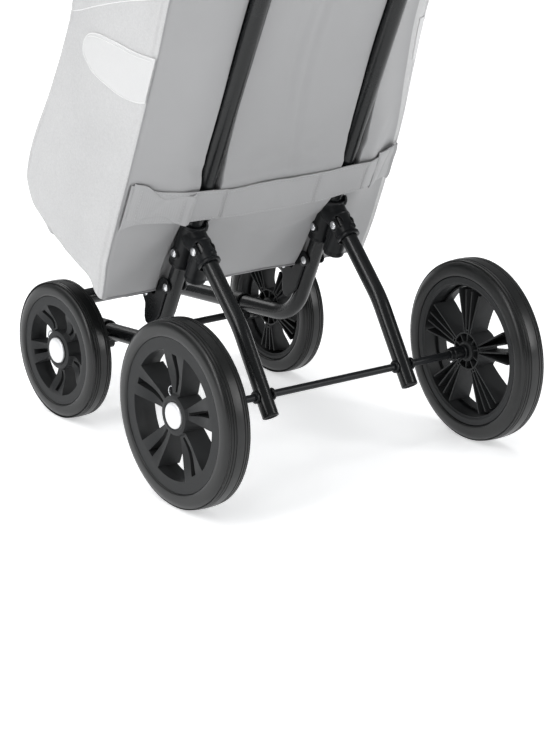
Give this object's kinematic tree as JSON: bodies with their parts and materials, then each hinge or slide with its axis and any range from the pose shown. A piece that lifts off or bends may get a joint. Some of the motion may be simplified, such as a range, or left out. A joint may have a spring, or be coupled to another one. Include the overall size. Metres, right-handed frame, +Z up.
{
  "type": "shopping trolley",
  "caption": "Folding shopping trolley: leaning black tube frame on four spoked wheels with a tall soft bag, low front loop, hinged lid and hand grip.",
  "frame": {"origin": "centre of the trolley's box, on the ground", "axes": "+X to the right seen from behind, +Y forward, +Z up"},
  "size_m": [0.4206, 0.646, 1.0005],
  "materials": {
    "tube_paint": "satin black powder coat on steel tube",
    "axle_steel": "black painted steel rod",
    "grip_foam": "matt black foam",
    "black_plastic": "fine grained moulded nylon",
    "bracket_steel": "satin black pressed steel",
    "rivet_steel": "bright zinc-plated rivet",
    "board_plastic": "grained black sheet",
    "bag_fabric": "mid grey woven polyester with a fine mesh centre",
    "lid_fabric": "pale grey woven polyester with piping",
    "tyre_rubber": "matt dark grey rubber with a soft sheen on the shoulders",
    "wheel_plastic": "dark grey moulded plastic",
    "cap_silver": "silver white domed cap",
    "spring_wire": "bright spring wire"
  },
  "bodies": {
    "frame": {"upper_frame": "tube_paint", "lower_frame": "tube_paint", "shelf_frame": "tube_paint", "front_axle": "axle_steel", "handle_grip": "grip_foam", "side_bracket_left": "black_plastic", "side_bracket_right": "black_plastic", "axle_saddle_left": "black_plastic", "axle_saddle_right": "black_plastic", "front_collar_left": "black_plastic", "front_collar_right": "black_plastic", "channel_bracket_left": "bracket_steel", "channel_bracket_right": "bracket_steel", "bracket_rivet_left": "rivet_steel", "bracket_rivet_right": "rivet_steel", "leg_pivot_pin_left": "rivet_steel", "leg_pivot_pin_right": "rivet_steel", "channel_rivet_left": "rivet_steel", "channel_rivet_right": "rivet_steel", "shelf_rivet_left": "rivet_steel", "shelf_rivet_right": "rivet_steel", "base_board": "board_plastic", "bag": "bag_fabric", "lower_band": "bag_fabric", "upper_band": "bag_fabric"},
    "rear_legs": {"rear_leg_left": "tube_paint", "rear_leg_right": "tube_paint", "leg_plug_left": "black_plastic", "leg_plug_right": "black_plastic", "rear_axle": "axle_steel", "rear_collar_left": "black_plastic", "rear_collar_right": "black_plastic"},
    "rear_wheel_left": {"rear_tyre_left": "tyre_rubber", "rear_rim_left": "wheel_plastic", "rear_hub_cap_left": "cap_silver"},
    "rear_clip_left": {"rear_clip_left": "spring_wire"},
    "rear_wheel_right": {"rear_tyre_right": "tyre_rubber", "rear_rim_right": "wheel_plastic", "rear_hub_cap_right": "cap_silver"},
    "rear_clip_right": {"rear_clip_right": "spring_wire"},
    "front_wheel_left": {"front_tyre_left": "tyre_rubber", "front_rim_left": "wheel_plastic", "front_hub_cap_left": "cap_silver"},
    "front_clip_left": {"front_clip_left": "spring_wire"},
    "front_wheel_right": {"front_tyre_right": "tyre_rubber", "front_rim_right": "wheel_plastic", "front_hub_cap_right": "cap_silver"},
    "front_clip_right": {"front_clip_right": "spring_wire"},
    "lid": {"lid": "lid_fabric"}
  },
  "joints": [
    {"name": "leg_fold", "type": "hinge", "parent": "frame", "child": "rear_legs", "pos_m": [0, -0.02243, 0.22854], "axis": [1, 0, 0], "range_deg": [0, 64]},
    {"name": "lid_hinge", "type": "hinge", "parent": "frame", "child": "lid", "pos_m": [0, -0.16253, 0.68281], "axis": [1, 0, 0], "range_deg": [0, 78]},
    {"name": "rear_wheel_spin_left", "type": "hinge", "parent": "rear_legs", "child": "rear_wheel_left", "pos_m": [-0.193, -0.13596, 0.1], "axis": [1, 0, 0], "continuous": true},
    {"name": "rear_clip_release_left", "type": "slide", "parent": "rear_wheel_left", "child": "rear_clip_left", "axis": [0, 0.5878, 0.809], "range_m": [0, 0.008], "stiffness_N_per_m": 150},
    {"name": "rear_wheel_spin_right", "type": "hinge", "parent": "rear_legs", "child": "rear_wheel_right", "pos_m": [0.193, -0.13596, 0.1], "axis": [1, 0, 0], "continuous": true},
    {"name": "rear_clip_release_right", "type": "slide", "parent": "rear_wheel_right", "child": "rear_clip_right", "axis": [0, 0.5878, 0.809], "range_m": [0, 0.008], "stiffness_N_per_m": 150},
    {"name": "front_wheel_spin_left", "type": "hinge", "parent": "frame", "child": "front_wheel_left", "pos_m": [-0.1435, 0.16004, 0.076], "axis": [1, 0, 0], "continuous": true},
    {"name": "front_clip_release_left", "type": "slide", "parent": "front_wheel_left", "child": "front_clip_left", "axis": [0, 0.9511, 0.309], "range_m": [0, 0.008], "stiffness_N_per_m": 150},
    {"name": "front_wheel_spin_right", "type": "hinge", "parent": "frame", "child": "front_wheel_right", "pos_m": [0.1435, 0.16004, 0.076], "axis": [1, 0, 0], "continuous": true},
    {"name": "front_clip_release_right", "type": "slide", "parent": "front_wheel_right", "child": "front_clip_right", "axis": [0, 0.9511, 0.309], "range_m": [0, 0.008], "stiffness_N_per_m": 150}
  ]
}
